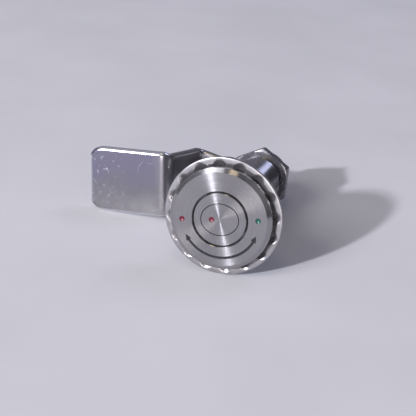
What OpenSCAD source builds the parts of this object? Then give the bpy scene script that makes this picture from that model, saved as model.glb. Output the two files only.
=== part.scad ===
// Cam lock with a long threaded barrel, a free turning guard ring and a cranked cam.
// Sizes are in millimetres. Each piece is drawn with the face up, as the lock would stand
// on its barrel, and is then laid on its side, so that the face looks to -Y and +Z is up.
// The origin is on the lock's axis, in the plane where the head seats on the panel.
// Angles are read from the front, counterclockwise from three o'clock.

/* [Head] */
// Height of the face above the panel
head_h = 5.2; // [4.8:0.1:7]
// Width of the face's flat land outside the round groove
land_w = 5.9; // [5.2:0.1:9]
// Width of the round groove between the rotor and the face plate
groove_w = 0.45; // [0.3:0.05:0.7]
// Distance by which the guard ring shows round the face plate
ring_show = 2.56; // [2:0.02:3.2]
// Thickness of the face plate
face_t = 2.1; // [1.6:0.1:2.4]
// Width of the bevel round the face
face_bevel_w = 1.25; // [0.4:0.05:1.6]
// Depth of the bevel round the face
face_bevel_h = 0.9; // [0.4:0.05:1.4]
// Distance by which the rear flange stays inside the guard ring
flange_inset = 0.96; // [0.5:0.02:1.6]
// Thickness of the rear flange
flange_t = 0.7; // [0.5:0.05:0.9]

/* [Guard ring] */
// Width of the guard ring from its bore to its rim
ring_w = 4.16; // [3.6:0.02:4.6]
// Height of the guard ring
ring_t = 1.2; // [1:0.05:1.4]
// Thickness of the lip that reaches in behind the face plate
ring_lip_t = 0.55; // [0.4:0.05:0.7]
// Number of finger scoops round the ring
scoop_n = 16; // [12:1:20]
// Radius of the cutter that makes a scoop
scoop_r = 3.6; // [3:0.1:4.2]
// Slope of a scoop, deeper towards the middle, in degrees
scoop_tilt = 20; // [12:1:24]

/* [Barrel] */
// Outer diameter of the threaded barrel
barrel_d = 16; // [15:0.1:20]
// Depth of either flat on the barrel's sides
flat_depth = 0.5; // [0.3:0.05:0.7]
// Bore of the barrel as a share of its outer diameter
bore_share = 0.706; // [0.66:0.002:0.74]
// Length of the barrel behind the panel seat
barrel_l = 46.4; // [42:0.2:60]
// Thickness of the nut's wall at the middle of a flat
nut_wall = 1.5; // [1.2:0.1:2.2]
// Thickness of the mounting nut
nut_t = 3; // [2.5:0.1:4]
// Distance of the nut from the end of the barrel
nut_back = 0.6; // [0.5:0.1:3]
// Angle at which one corner of the nut stands, in degrees
nut_turn = 79.4; // [0:0.1:360]

/* [Rotor] */
// Distance by which the rotor's head stands out past the barrel's radius
head_step = 0.2; // [0.1:0.05:0.6]
// Step from the rotor's shank to a flat of the square tail
tail_step = 1.6; // [1.5:0.05:2]
// Travel of the rotor between its stops, in degrees
turn_travel = 180; // [90:5:180]

/* [Key plug] */
// Width of the rotor's rim at either end of the oval plug
rim_side = 2.46; // [2:0.02:2.8]
// Width of the rotor's rim above and below the oval plug
rim_top = 3.38; // [3:0.02:3.6]
// Difference between half the oval's height and the radius of its ends
oval_drop = 0.63; // [0.5:0.01:0.8]
// Thickness of the oval disc
plug_t = 2; // [1.6:0.1:2.2]
// Distance by which the key pushes the plug in
plug_travel = 2; // [1:0.1:2]

/* [Marks] */
// Diameter of a coloured dot
dot_d = 1.7; // [1.2:0.1:2.2]
// Distance of the plug's dot from the middle
plug_dot_x = 2.5; // [1.8:0.1:3.2]
// Width of the arrow's line
arrow_w = 0.76; // [0.5:0.02:1]
// Angle from the bottom of the face to either tip, in degrees
arrow_half = 66.5; // [40:0.5:72]

/* [Cam] */
// Distance from the axis to the cam's tip
cam_reach = 54.6; // [45:0.2:70]
// Width of the cam's plate
cam_w = 22.4; // [20:0.2:26]
// Thickness of the cam's sheet
cam_t = 3; // [2:0.1:3.2]
// Distance by which the crank brings the plate back towards the panel
crank_h = 22.4; // [12:0.2:30]
// Distance by which the eye stands behind the crank
joggle_h = 3.1; // [2:0.1:4]
// Distance from the eye's joggle to the crank's outer corner
crank_run = 11.1; // [9:0.1:16]
// Angle of the cam above nine o'clock, in degrees
cam_rise = 5; // [0:1:10]

/* [Hidden] */
$fn = 96;

// Clearances: a running fit, the nut's thread, a loose seat and a moving gap
run_gap = 0.05;
thread_gap = 0.05;
seat_gap = 0.1;
move_gap = 0.3;
bite = 1;

// Radii of the head and the ring
barrel_r = barrel_d / 2;
head_r = barrel_r + head_step;
head_bore_r = head_r + groove_w;
face_r = head_bore_r + land_w + face_bevel_w;
ring_r = face_r + ring_show;
flange_r = ring_r - flange_inset;
ring_in_r = ring_r - ring_w;
boss_r = ring_in_r - move_gap;
crown_in_r = ring_in_r + 1.9;
crown_out_r = ring_r - 0.76;
rim_drop = 0.3;
scoop_rise = 0.13;

// Heights in the head
face_back_z = head_h - face_t;
ring_back_z = flange_t + 0.2;
ring_front_z = ring_back_z + ring_t;
head_floor_z = 0.3;
edge = 0.2;

// Rotor and barrel
bore_r = barrel_r * bore_share;
shank_r = bore_r - run_gap;
tail_w = 2 * (shank_r - tail_step);
head_back_z = head_floor_z + seat_gap;
barrel_end_z = -barrel_l;
barrel_chamfer = 0.6;
nut_back_z = barrel_end_z + nut_back;
nut_bore_r = barrel_r + thread_gap;
nut_af = barrel_d + 2 * nut_wall;
nut_chamfer = 0.5;

// Rear of the barrel: the counterbore for the retaining ring, and the stop lug
clip_t = 1;
clip_in_r = shank_r - 0.65;
clip_out_r = shank_r + 1.1;
clip_slot_r = clip_in_r - run_gap;
rear_bore_r = clip_out_r + 0.35;
rear_bore_h = clip_t + 0.4;
clip_z = barrel_end_z + rear_bore_h - seat_gap - clip_t;
clip_opening = 70;
lug_h = 1.2;
lug_angle = 13;
lug_turn = 90;
stop_slack = 0.5;
stop_sweep = 360 - turn_travel - lug_angle - 2 * stop_slack;
stop_start = lug_turn + lug_angle / 2 + stop_slack;
stop_t = 1.3;
stop_front_z = barrel_end_z - seat_gap;
stop_r = barrel_r - seat_gap;
stop_disc_r = rear_bore_r - 0.45;

// Cam: heights of its front faces, from the eye back to the plate
cam_gap = 0.1;
cam_eye_z = stop_front_z - stop_t - cam_gap;
cam_back_z = cam_eye_z - cam_t;
crank_back_z = cam_eye_z + joggle_h;
plate_front_z = crank_back_z + crank_h;
cam_eye_r = barrel_r + 0.5;
cam_neck_w = 9.6;
cam_corner_r = 5;
cam_plate_start = 2.5;
cam_waist = 1.4;
cam_neck_start = 4;
cam_bends = [3.2, 2.8, 2, 2];
crank_lean = 3.8;
cam_neck_l = 6;
joggle_x = cam_eye_r + cam_neck_l;
joggle_run = 2.2;
crank_x = joggle_x + crank_run;
crank_foot_x = crank_x - crank_lean;
tail_clear = 0.05;
tail_end_z = cam_back_z + 0.3;
tail_round_r = tail_w * 0.68;

// Cam bolt and its spring washer
bolt_hole_r = tail_w / 2 - 1;
bolt_r = bolt_hole_r - seat_gap;
bolt_head_af = 2 * bolt_r + 4.2;
bolt_head_t = 4;
bolt_depth = 10.8;
bolt_hole_depth = 11.6;
washer_t = 1.4;
washer_r = bolt_r + 2.5;
washer_gap_w = 0.8;
bolt_seat_z = cam_back_z - washer_t;
bolt_end_z = bolt_seat_z + bolt_depth;
bolt_hole_z = bolt_seat_z + bolt_hole_depth;

// Key plug, its stem, its cross pin, its spring and the sealed module behind it
plug_gap = 0.25;
arc_overlap = 0.01;
plug_w = 2 * (head_r - rim_side);
plug_h = 2 * (head_r - rim_top);
plug_end_r = plug_h / 2 - oval_drop;
plug_end_x = plug_w / 2 - plug_end_r;
plug_side_r = (plug_h * plug_h / 4 - plug_end_r * plug_end_r + plug_end_x * plug_end_x)
    / (plug_h - 2 * plug_end_r);
plug_side_y = plug_side_r - plug_h / 2;
plug_floor_z = head_h - plug_t - plug_travel - 0.2;
core_share = 0.56;
core_r = shank_r * core_share;
stem_r = core_r - 0.6;
stem_end_z = -8;
pin_z = -5;
pin_r = 0.6;
pin_half = shank_r - 0.2;
slot_w = 2 * pin_r + 0.1;
slot_end_gap = 0.05;
plug_spring_r = stem_r - 0.6;
plug_spring_wire = 0.3;
plug_spring_turns = 5;
plug_spring_gap = 0.05;
module_front_z = -14;
module_back_z = -30;
module_r = core_r - seat_gap;

// Seal round the rotor's shank
seal_z = -2.75;
seal_w = 1.2;
seal_wire_r = 0.5;
seal_floor_r = shank_r - 2 * seal_wire_r - run_gap;
seal_r = seal_floor_r + seal_wire_r + 0.03;

// Blocking pin across the rotor, shown drawn in
block_z = -36;
block_r = 1.25;
block_bore_r = block_r + run_gap;
block_pocket_r = block_r + 0.1;
block_hole_r = 1;
block_in_r = 2.2;
block_out_r = shank_r - 0.2;
block_travel = 1.3;
block_pocket_end_r = block_out_r + block_travel + move_gap;
block_spring_r = 0.85;
block_spring_wire = 0.12;
block_spring_turns = 3;

// Marks, set about the middle of the face's flat land
land_mid_r = (head_bore_r + face_r - face_bevel_w) / 2;
dot_x = land_mid_r + 0.2;
arrow_r = land_mid_r + 0.35;
dot_r = dot_d / 2;
dot_depth = 0.6;
dot_rise = 0.15;
dot_dome_r = (dot_r * dot_r + dot_rise * dot_rise) / (2 * dot_rise);
arrow_depth = 0.4;
arrow_head_w = 1.9;
arrow_head_l = 2;
arrow_head_angle = arrow_head_l / arrow_r * 180 / PI;

// Lays a piece that is drawn face up on its side
module laid() {
    rotate([90, 0, 0]) children();
}

// A cylinder between two heights
module rod(r, low, high) {
    translate([0, 0, low]) cylinder(r = r, h = high - low);
}

// A point at an angle and a radius
function polar(r, a) = [r * cos(a), r * sin(a)];

// A ring sector between two radii and two heights
module sector(r_in, r_out, low, high, start, sweep) {
    translate([0, 0, low]) rotate([0, 0, start]) rotate_extrude(angle = sweep)
        translate([r_in, 0]) square([r_out - r_in, high - low]);
}

// A hexagon prism with its corners turned off at the chosen faces
module hexagon(af, low, high, chamfer_low, chamfer_high) {
    corner_r = af / sqrt(3);
    inner_r = af / 2 * 0.96;
    rise = (corner_r - inner_r) * 0.55;
    intersection() {
        translate([0, 0, low]) cylinder(r = corner_r, h = high - low, $fn = 6);
        rotate_extrude() polygon([
            [0, low], [chamfer_low ? inner_r : corner_r, low],
            [corner_r, chamfer_low ? low + rise : low],
            [corner_r, chamfer_high ? high - rise : high],
            [chamfer_high ? inner_r : corner_r, high], [0, high]
        ]);
    }
}

// The oval outline of the plug, made of four arcs, grown all round by a gap.
// The end arcs stand a hair proud, so that they cross the long arcs cleanly.
module oval(grow) {
    side = plug_side_r + grow;
    join_x = plug_end_x / (plug_side_r - plug_end_r) * side;
    for (s = [-1, 1]) translate([s * plug_end_x, 0]) circle(r = plug_end_r + grow + arc_overlap);
    intersection() {
        translate([0, -plug_side_y]) circle(r = side);
        translate([0, plug_side_y]) circle(r = side);
        square([2 * join_x, plug_h + 4], center = true);
    }
}

// A coloured dot, or its pocket, with its rim at the given height
module dot(x, domed) {
    translate([x, 0, head_h - dot_depth]) {
        if (domed) intersection() {
            cylinder(r = dot_r, h = dot_depth + dot_rise);
            translate([0, 0, dot_depth + dot_rise - dot_dome_r]) rotate([90, 0, 0]) sphere(r = dot_dome_r);
        }
        else cylinder(r = dot_r, h = dot_depth + bite);
    }
}

// The arrow that curves under the rotor, with a head at each end
module arrow(low, high) {
    shaft_half = arrow_half - arrow_head_angle;
    lap = 0.5;
    sector(arrow_r - arrow_w / 2, arrow_r + arrow_w / 2, low, high,
        270 - shaft_half - lap, 2 * (shaft_half + lap));
    for (s = [-1, 1]) translate([0, 0, low]) linear_extrude(high - low) polygon([
        polar(arrow_r - arrow_head_w / 2, 270 + s * shaft_half),
        polar(arrow_r, 270 + s * arrow_half),
        polar(arrow_r + arrow_head_w / 2, 270 + s * shaft_half)
    ]);
}

// A coil spring that stands on z = 0
module coil(mean_r, wire_r, length, turns) {
    per_turn = 18;
    sides = 6;
    rings = ceil(turns * per_turn);
    points = [for (i = [0 : rings]) for (j = [0 : sides - 1])
        let (a = 360 * turns * i / rings, b = 360 * j / sides, r = mean_r + wire_r * cos(b))
        [r * cos(a), r * sin(a), wire_r + (length - 2 * wire_r) * i / rings + wire_r * sin(b)]];
    walls = [for (i = [0 : rings - 1]) for (j = [0 : sides - 1])
        let (k = (j + 1) % sides)
        [i * sides + j, i * sides + k, (i + 1) * sides + k, (i + 1) * sides + j]];
    first = [for (j = [sides - 1 : -1 : 0]) j];
    last = [for (j = [0 : sides - 1]) rings * sides + j];
    polyhedron(points, concat([first], walls, [last]));
}

// Housing: the head's boss, the thin flange and the long barrel, turned from one bar.
// The real barrel carries a fine thread between its two flats.
module housing() {
    color("silver") laid() difference() {
        union() {
            rod(boss_r, 0, face_back_z);
            rod(flange_r, 0, flange_t);
            intersection() {
                union() {
                    rod(barrel_r, barrel_end_z + barrel_chamfer, bite / 2);
                    translate([0, 0, barrel_end_z])
                        cylinder(r1 = barrel_r - barrel_chamfer, r2 = barrel_r, h = barrel_chamfer);
                }
                translate([flat_depth - barrel_r, -barrel_d, barrel_end_z - bite])
                    cube([barrel_d - 2 * flat_depth, 2 * barrel_d, barrel_l + 2 * bite]);
            }
            sector(rear_bore_r - bite / 2, stop_r, barrel_end_z - lug_h, barrel_end_z + bite / 2,
                lug_turn - lug_angle / 2, lug_angle);
        }
        rod(bore_r, barrel_end_z - lug_h - bite, head_h);
        rod(head_bore_r, head_floor_z, head_h);
        rod(rear_bore_r, barrel_end_z - lug_h - bite, barrel_end_z + rear_bore_h);
        for (s = [-1, 1]) translate([0, 0, block_z]) rotate([s * 90, 0, 0])
            cylinder(r = block_pocket_r, h = block_pocket_end_r);
    }
}

// Face plate: the round bevelled disc with sunk marks, seated on the boss
module face_plate() {
    color("gainsboro") laid() difference() {
        rotate_extrude() polygon([
            [head_bore_r, face_back_z], [face_r, face_back_z], [face_r, head_h - face_bevel_h],
            [face_r - face_bevel_w, head_h], [head_bore_r + edge, head_h],
            [head_bore_r, head_h - edge]
        ]);
        for (s = [-1, 1]) dot(s * dot_x, false);
        arrow(head_h - arrow_depth, head_h + bite);
    }
}

// Guard ring: a loose scooped collar that spins when it is gripped
module guard_ring() {
    floor_z = ring_front_z - rim_drop + scoop_rise;
    color("silver") laid() difference() {
        rotate_extrude() polygon([
            [ring_in_r, ring_back_z], [ring_r, ring_back_z], [ring_r, ring_front_z - rim_drop],
            [crown_out_r, ring_front_z], [crown_in_r, ring_front_z],
            [ring_in_r, ring_back_z + ring_lip_t]
        ]);
        for (i = [0 : scoop_n - 1]) rotate([0, 0, 360 * i / scoop_n])
            translate([ring_r, 0, floor_z + scoop_r / cos(scoop_tilt)]) rotate([0, -90 - scoop_tilt, 0])
            translate([0, 0, -bite * 3]) cylinder(r = scoop_r, h = ring_r - ring_in_r + bite * 6);
    }
}

// Rotor: the head in the middle of the face, the long shank and the square tail
module rotor() {
    color("gainsboro") laid() difference() {
        union() {
            rotate_extrude() polygon([
                [0, head_back_z], [head_r, head_back_z], [head_r, head_h - edge],
                [head_r - edge, head_h], [0, head_h]
            ]);
            rod(shank_r, barrel_end_z, head_back_z + bite / 2);
            intersection() {
                rod(tail_round_r, tail_end_z, barrel_end_z + bite / 2);
                rotate([0, 0, -cam_rise]) translate([-tail_w / 2, -tail_w / 2, tail_end_z])
                    cube([tail_w, tail_w, barrel_l]);
            }
        }
        translate([0, 0, plug_floor_z]) linear_extrude(head_h) oval(plug_gap);
        rod(core_r, module_back_z, head_h);
        translate([0, 0, pin_z]) rotate([0, 90, 0])
            cylinder(r = pin_r + 0.02, h = 2 * shank_r + bite, center = true);
        difference() {
            rod(shank_r + bite, seal_z - seal_w / 2, seal_z + seal_w / 2);
            rod(seal_floor_r, seal_z - seal_w, seal_z + seal_w);
        }
        difference() {
            rod(shank_r + bite, clip_z - run_gap, clip_z + clip_t + run_gap);
            rod(clip_slot_r, clip_z - bite, clip_z + 2 * clip_t);
        }
        translate([0, 0, block_z]) rotate([-90, 0, 0]) translate([0, 0, block_hole_r])
            cylinder(r = block_bore_r, h = shank_r);
        rod(bolt_hole_r, tail_end_z - bite, bolt_hole_z);
    }
}

// Plug: the oval contact disc that the key pushes in, with its slotted stem
module plug() {
    slot_low = pin_z - pin_r - slot_end_gap;
    slot_high = pin_z + pin_r + plug_travel + 2 * slot_end_gap;
    color("gainsboro") laid() difference() {
        union() {
            translate([0, 0, head_h - plug_t]) linear_extrude(plug_t) oval(0);
            rod(stem_r, stem_end_z, head_h - plug_t / 2);
        }
        translate([-stem_r - bite, -slot_w / 2, slot_low])
            cube([2 * (stem_r + bite), slot_w, slot_high - slot_low]);
        dot(-plug_dot_x, false);
    }
}

module plug_spring() {
    length = stem_end_z - module_front_z - 2 * plug_spring_gap;
    color("dimgray") laid() translate([0, 0, module_front_z + plug_spring_gap])
        coil(plug_spring_r, plug_spring_wire, length, plug_spring_turns);
}

// Cross pin that holds the plug in the rotor and limits its travel
module plug_pin() {
    color("gray") laid() translate([0, 0, pin_z]) rotate([0, 90, 0])
        cylinder(r = pin_r, h = 2 * pin_half, center = true);
}

// Sealed module that reads the key, pushed down to the floor of the rotor's core
module reader_module() {
    color("darkslategray") laid() rod(module_r, module_back_z, module_front_z);
}

module red_dot_left() {
    color("red") laid() dot(-dot_x, true);
}

module green_dot_right() {
    color("limegreen") laid() dot(dot_x, true);
}

module red_dot_plug() {
    color("red") laid() dot(-plug_dot_x, true);
}

// Paint in the sunk arrow, a little below the face
module arrow_fill() {
    color("dimgray") laid() arrow(head_h - arrow_depth, head_h - 0.1);
}

// Rubber ring in the groove behind the rotor's head
module rotor_seal() {
    color("black") laid() translate([0, 0, seal_z]) rotate_extrude()
        translate([seal_r, 0]) circle(r = seal_wire_r, $fn = 32);
}

// Open snap ring that holds the rotor in the rear counterbore
module retaining_ring() {
    color("gray") laid() rotate([0, 0, 270 + clip_opening / 2])
        sector(clip_in_r, clip_out_r, clip_z, clip_z + clip_t, 0, 360 - clip_opening);
}

// Stop washer: it turns with the tail, and its wide sector meets the barrel's lug at each limit
module stop_washer() {
    color("lightgray") laid() difference() {
        union() {
            rod(stop_disc_r, stop_front_z - stop_t, stop_front_z);
            sector(0, stop_r, stop_front_z - stop_t, stop_front_z, stop_start, stop_sweep);
        }
        tail_hole();
    }
}

// Square hole for the rotor's tail
module tail_hole() {
    width = tail_w + 2 * tail_clear;
    rotate([0, 0, -cam_rise]) translate([-width / 2, -width / 2, cam_back_z - bite])
        cube([width, width, barrel_l]);
}

// Mounting nut, its corners turned off on the face towards the panel
module mounting_nut() {
    color("silver") laid() difference() {
        rotate([0, 0, nut_turn]) hexagon(nut_af, nut_back_z, nut_back_z + nut_t, false, true);
        rod(nut_bore_r, nut_back_z - bite, nut_back_z + nut_t + bite);
        for (top = [0, 1]) translate([0, 0, nut_back_z + top * nut_t]) rotate([top * 180, 0, 0])
            translate([0, 0, -0.01]) cylinder(r1 = nut_bore_r + nut_chamfer, r2 = nut_bore_r, h = nut_chamfer);
    }
}

// Points on one side of a bent strip. path is the middle line, radii are the bends at its
// inner corners, and off is the distance to the left of it.
function unit(v) = v / norm(v);
function left(v) = [-v[1], v[0]];
function turned(v, a) = [v[0] * cos(a) - v[1] * sin(a), v[0] * sin(a) + v[1] * cos(a)];
function bend(p, q, s, r, off) =
    let (d1 = unit(q - p), d2 = unit(s - q), cross = d1[0] * d2[1] - d1[1] * d2[0],
        a = atan2(cross, d1 * d2), way = sign(a),
        start = q - d1 * r * tan(abs(a) / 2), centre = start + left(d1) * r * way,
        spoke = -left(d1) * way * (r - way * off), steps = 7)
    [for (i = [0 : steps]) centre + turned(spoke, a * i / steps)];
function side(path, radii, off) =
    let (last = len(path) - 1)
    concat(
        [path[0] + left(unit(path[1] - path[0])) * off],
        [for (i = [1 : last - 1]) each bend(path[i - 1], path[i], path[i + 1], radii[i - 1], off)],
        [path[last] + left(unit(path[last] - path[last - 1])) * off]
    );

// Cam: thick sheet cranked towards the panel, with a joggle before its eye.
// It is drawn reaching along +X and is then swung round to nine o'clock.
module cam() {
    mid = cam_t / 2;
    strip = [
        [cam_reach, plate_front_z - mid], [crank_x + mid, plate_front_z - mid],
        [crank_foot_x + mid, crank_back_z - mid], [joggle_x, crank_back_z - mid],
        [joggle_x - joggle_run, cam_eye_z - mid], [-cam_eye_r - bite, cam_eye_z - mid]
    ];
    far_side = side(strip, cam_bends, -mid);
    profile = concat(side(strip, cam_bends, mid), [for (i = [len(far_side) - 1 : -1 : 0]) far_side[i]]);
    color("silver") laid() rotate([0, 0, 180 - cam_rise]) difference() {
        intersection() {
            translate([0, cam_w / 2 + bite, 0]) rotate([90, 0, 0]) linear_extrude(cam_w + 2 * bite)
                polygon(profile);
            translate([0, 0, cam_back_z - bite]) linear_extrude(crank_h + joggle_h + 2 * cam_t)
                cam_outline();
        }
        rotate([0, 0, -180 + cam_rise]) tail_hole();
    }
}

// Plan of the cam: a wide plate with round corners, a taper down the crank, a neck and an eye
module cam_outline() {
    half = cam_w / 2;
    foot_half = half * 0.69;
    neck_half = cam_neck_w / 2;
    plate_x = crank_x + cam_plate_start;
    waist_x = crank_x - cam_waist;
    neck_x = joggle_x - cam_neck_start;
    polygon([
        [plate_x, half], [waist_x, half * 0.78], [crank_foot_x, foot_half],
        [joggle_x, neck_half * 1.19], [neck_x, neck_half], [0, neck_half],
        [0, -neck_half], [neck_x, -neck_half], [joggle_x, -neck_half * 1.19],
        [crank_foot_x, -foot_half], [waist_x, -half * 0.78], [plate_x, -half]
    ]);
    circle(r = cam_eye_r);
    translate([plate_x, -half + cam_corner_r]) square([cam_reach - plate_x, cam_w - 2 * cam_corner_r]);
    translate([plate_x, -half]) square([cam_reach - cam_corner_r - plate_x, cam_w]);
    for (s = [-1, 1]) translate([cam_reach - cam_corner_r, s * (half - cam_corner_r)])
        circle(r = cam_corner_r);
}

// Split spring washer under the bolt's head
module spring_washer() {
    color("gray") laid() difference() {
        rod(washer_r, bolt_seat_z, cam_back_z);
        rod(bolt_hole_r + seat_gap, bolt_seat_z - bite, cam_back_z + bite);
        translate([0, -washer_gap_w / 2, bolt_seat_z - bite]) cube([washer_r + bite, washer_gap_w, barrel_l]);
    }
}

// Hexagon bolt that holds the cam on the tail
module cam_bolt() {
    color("silver") laid() {
        hexagon(bolt_head_af, bolt_seat_z - bolt_head_t, bolt_seat_z, true, false);
        rod(bolt_r, bolt_seat_z - bite / 2, bolt_end_z);
    }
}

// Blocking pin: the module lets it spring out into a pocket of the barrel to lock the rotor
module blocking_pin() {
    color("gray") laid() translate([0, 0, block_z]) rotate([-90, 0, 0])
        rod(block_r, block_in_r, block_out_r);
}

module blocking_spring() {
    length = block_in_r - block_hole_r - 2 * plug_spring_gap;
    color("dimgray") laid() translate([0, 0, block_z]) rotate([-90, 0, 0])
        translate([0, 0, block_hole_r + plug_spring_gap])
        coil(block_spring_r, block_spring_wire, length, block_spring_turns);
}

housing();
face_plate();
guard_ring();
rotor();
plug();
plug_spring();
plug_pin();
reader_module();
red_dot_left();
green_dot_right();
red_dot_plug();
arrow_fill();
rotor_seal();
retaining_ring();
stop_washer();
mounting_nut();
cam();
spring_washer();
cam_bolt();
blocking_pin();
blocking_spring();
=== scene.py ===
"""Looks for the cam lock: a turned steel head with a scooped guard ring, a threaded barrel with its
nut, and a cranked cam. Sizes are in millimetres and angles in degrees, unless a comment differs."""

import math

import bmesh
import bpy
import numpy as np
from mathutils import Matrix, Vector


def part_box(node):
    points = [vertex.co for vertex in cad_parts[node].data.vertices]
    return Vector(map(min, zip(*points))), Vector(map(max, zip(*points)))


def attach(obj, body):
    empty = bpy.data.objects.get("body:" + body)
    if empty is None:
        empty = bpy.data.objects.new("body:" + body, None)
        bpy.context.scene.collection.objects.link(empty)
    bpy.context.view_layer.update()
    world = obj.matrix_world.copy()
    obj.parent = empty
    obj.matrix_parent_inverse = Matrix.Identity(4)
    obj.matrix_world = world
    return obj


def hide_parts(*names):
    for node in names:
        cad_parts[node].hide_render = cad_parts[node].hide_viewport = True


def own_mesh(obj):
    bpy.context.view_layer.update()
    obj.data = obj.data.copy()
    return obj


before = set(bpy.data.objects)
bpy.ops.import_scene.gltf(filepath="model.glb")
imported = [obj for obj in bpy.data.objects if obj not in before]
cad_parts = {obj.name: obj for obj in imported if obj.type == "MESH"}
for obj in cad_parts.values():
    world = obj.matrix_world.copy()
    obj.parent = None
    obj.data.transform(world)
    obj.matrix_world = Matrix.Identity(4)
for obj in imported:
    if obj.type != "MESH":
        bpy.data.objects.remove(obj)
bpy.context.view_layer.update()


# Table and camera.
# The lock lies on a pale laminate board, on the rim of its guard ring, a corner of its nut and its
# cam, so that the board is askew to it. The camera looks from above and from the right.

MM = 0.001
METRE = 1000                        # METRE / size is the scale of a pattern of that size
NOISE_LOW, NOISE_HIGH = 0.3, 0.7    # nearly all of a noise lies between these
BOARD_COLOUR, BOARD_MOTTLE = "#cdccd0", "#c8c7cb"
BOARD_SPAN = 3.0                    # in metres
MOTTLE_SPAN = 60
DOWN_GUESS = Vector((-0.135, 0.16, -0.978))
CAMERA_PLACE = Vector((75.700, -246.458, 76.987)) * MM
CAMERA_RIGHT = Vector((0.95373, 0.29507, -0.05766))
CAMERA_UP = Vector((-0.02932, 0.28216, 0.95892))
CAMERA_LENS, CAMERA_SENSOR = 77.0, 36
CAMERA_NEAR = 0.01                  # in metres


def linear(code):
    """An sRGB hex colour as the linear values that a shader takes."""
    parts = [int(code[i:i + 2], 16) / 255 for i in (1, 3, 5)]
    return [c / 12.92 if c <= 0.04045 else ((c + 0.055) / 1.055) ** 2.4 for c in parts] + [1.0]


def add(tree, kind, settings=None, inputs=None, stops=None):
    """Adds a node with its settings. An input is a value, or another node's output to link."""
    node = tree.nodes.new("ShaderNode" + kind)
    for key, value in (settings or {}).items():
        setattr(node, key, value)
    for key, value in (inputs or {}).items():
        if isinstance(value, bpy.types.NodeSocket):
            tree.links.new(value, node.inputs[key])
        else:
            node.inputs[key].default_value = value
    if stops:
        ramp = node.color_ramp
        while len(ramp.elements) < len(stops):
            ramp.elements.new(0.5)
        for element, (place, code) in zip(ramp.elements, stops):
            element.position = place
            element.color = linear(code)
    return node


def new_material(name):
    """An empty material, and its node tree."""
    material = bpy.data.materials.new(name)
    material.use_nodes = True
    material.node_tree.nodes.clear()
    return material, material.node_tree


def finished(tree, shader):
    """Sends a shader to the material's output."""
    add(tree, "OutputMaterial", None, {"Surface": shader.outputs[0]})


def resting_plane():
    """A point and the upward normal of the board: the hull face that the lock lies on."""
    hull = bmesh.new()
    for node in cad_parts.values():
        for vertex in node.data.vertices:
            hull.verts.new(vertex.co)
    bmesh.ops.convex_hull(hull, input=hull.verts)
    hull.normal_update()
    face = min(hull.faces, key=lambda f: (f.normal - DOWN_GUESS).length)
    place, up = face.calc_center_median().copy(), -face.normal.copy()
    hull.free()
    return place, up


# Matt laminate: pale and even, with a faint mottle and hardly any sheen.
matt_laminate, tree = new_material("matt_laminate")
spot = add(tree, "TexCoord").outputs["Object"]
mottle = add(tree, "TexNoise", None, {
    "Vector": spot, "Scale": METRE / MOTTLE_SPAN, "Detail": 3.0})
tint = add(tree, "ValToRGB", None, {"Fac": mottle.outputs["Fac"]},
           [(0.35, BOARD_MOTTLE), (0.65, BOARD_COLOUR)])
skin = add(tree, "BsdfPrincipled", None, {
    "Base Color": tint.outputs["Color"], "Roughness": 0.85, "Specular IOR Level": 0.1})
finished(tree, skin)

board_place, board_up = resting_plane()
mesh = bpy.data.meshes.new("board")
half = BOARD_SPAN / 2
mesh.from_pydata([(-half, -half, 0), (half, -half, 0), (half, half, 0), (-half, half, 0)],
                 [], [(0, 1, 2, 3)])
board = bpy.data.objects.new("board", mesh)
board.data.materials.append(matt_laminate)
board_turn = board_up.to_track_quat("Z", "Y").to_matrix().to_4x4()
board.matrix_world = Matrix.Translation(board_place) @ board_turn
bpy.context.scene.collection.objects.link(board)

camera_data = bpy.data.cameras.new("camera")
camera_data.lens = CAMERA_LENS
camera_data.sensor_width = CAMERA_SENSOR
camera_data.clip_start = CAMERA_NEAR
camera = bpy.data.objects.new("camera", camera_data)
bpy.context.scene.collection.objects.link(camera)
camera_back = CAMERA_RIGHT.cross(CAMERA_UP)
camera.matrix_world = Matrix.Translation(CAMERA_PLACE) @ Matrix(
    (CAMERA_RIGHT, CAMERA_UP, camera_back)).transposed().to_4x4()
bpy.context.scene.camera = camera


# Light.
# A small hard lamp at the left throws the long shadow and the streak on the face. Two soft boxes,
# a ceiling panel and a window fill in. The room is dim, and a curtain at the right darkens it.

LAMPS = [
    # name, direction from the lock, distance and size in metres, power in watts, colour
    ("key_lamp", (-0.389, -0.852, 0.350), 3.0, 0.14, 94.0, "#f4f6ff"),
    ("soft_box", (-0.359, -0.718, 0.597), 2.4, 0.90, 20.0, "#ffffff"),
    ("ceiling_panel", (0.107, -0.499, 0.860), 2.4, 0.50, 3.5, "#ffe6bc"),
    ("window", (0.545, 0.340, 0.766), 2.4, 0.90, 10.0, "#d8deff"),
    ("low_box", (0.18, -0.98, 0.00), 2.4, 0.80, 15.0, "#fffaf6"),
]
ROOM_HIGH, ROOM_LOW = "#8a8a96", "#5a5a63"
BACKDROP = "#c2c1c8"
CURTAIN_SIDE = (0.88, -0.33, 0.35)
CURTAIN_DIM = 0.25


def lamp(name, direction, distance, size, power, colour):
    """A square lamp that looks at the lock."""
    light = bpy.data.lights.new(name, "AREA")
    light.shape = "SQUARE"
    light.size = size
    light.energy = power
    light.color = linear(colour)[:3]
    holder = bpy.data.objects.new(name, light)
    direction = Vector(direction).normalized()
    holder.location = direction * distance
    holder.rotation_euler = direction.to_track_quat("Z", "Y").to_euler()
    bpy.context.scene.collection.objects.link(holder)


for row in LAMPS:
    lamp(*row)

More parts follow.
